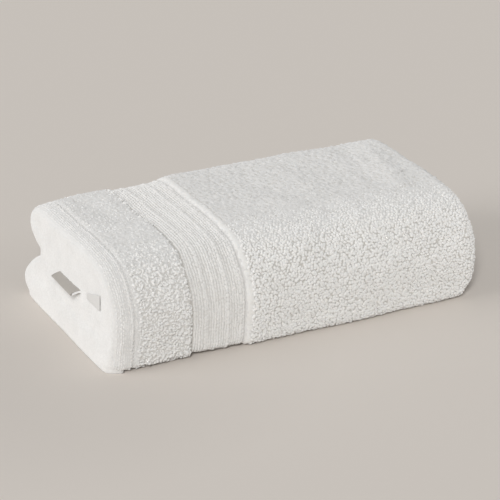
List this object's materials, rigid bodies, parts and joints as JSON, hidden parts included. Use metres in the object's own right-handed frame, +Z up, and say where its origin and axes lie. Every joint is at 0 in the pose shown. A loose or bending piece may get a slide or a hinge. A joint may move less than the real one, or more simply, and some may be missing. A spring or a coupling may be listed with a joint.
{
  "type": "folded bath towel",
  "caption": "White terry bath towel with a woven border, folded into a flat pack with the book fold at the front; a hanging-loop label and a care label show at the hemmed end.",
  "frame": {"origin": "on the surface the towel lies on, under the middle of the folded pack", "axes": "+X along the fold from the hemmed end with the labels to the plush end, +Y from the book fold at the front to the rolls at the back, +Z up"},
  "size_m": [0.3622, 0.2112, 0.098],
  "materials": {
    "terry_cotton": "looped cotton pile, matt, with flat woven hem and ribbed border",
    "grey_ribbon": "woven satin ribbon, soft sheen",
    "white_ribbon": "thin satin ribbon, soft sheen"
  },
  "bodies": {
    "root": {"towel": "terry_cotton", "woven_loop_label": "grey_ribbon", "care_label": "white_ribbon"}
  },
  "joints": []
}
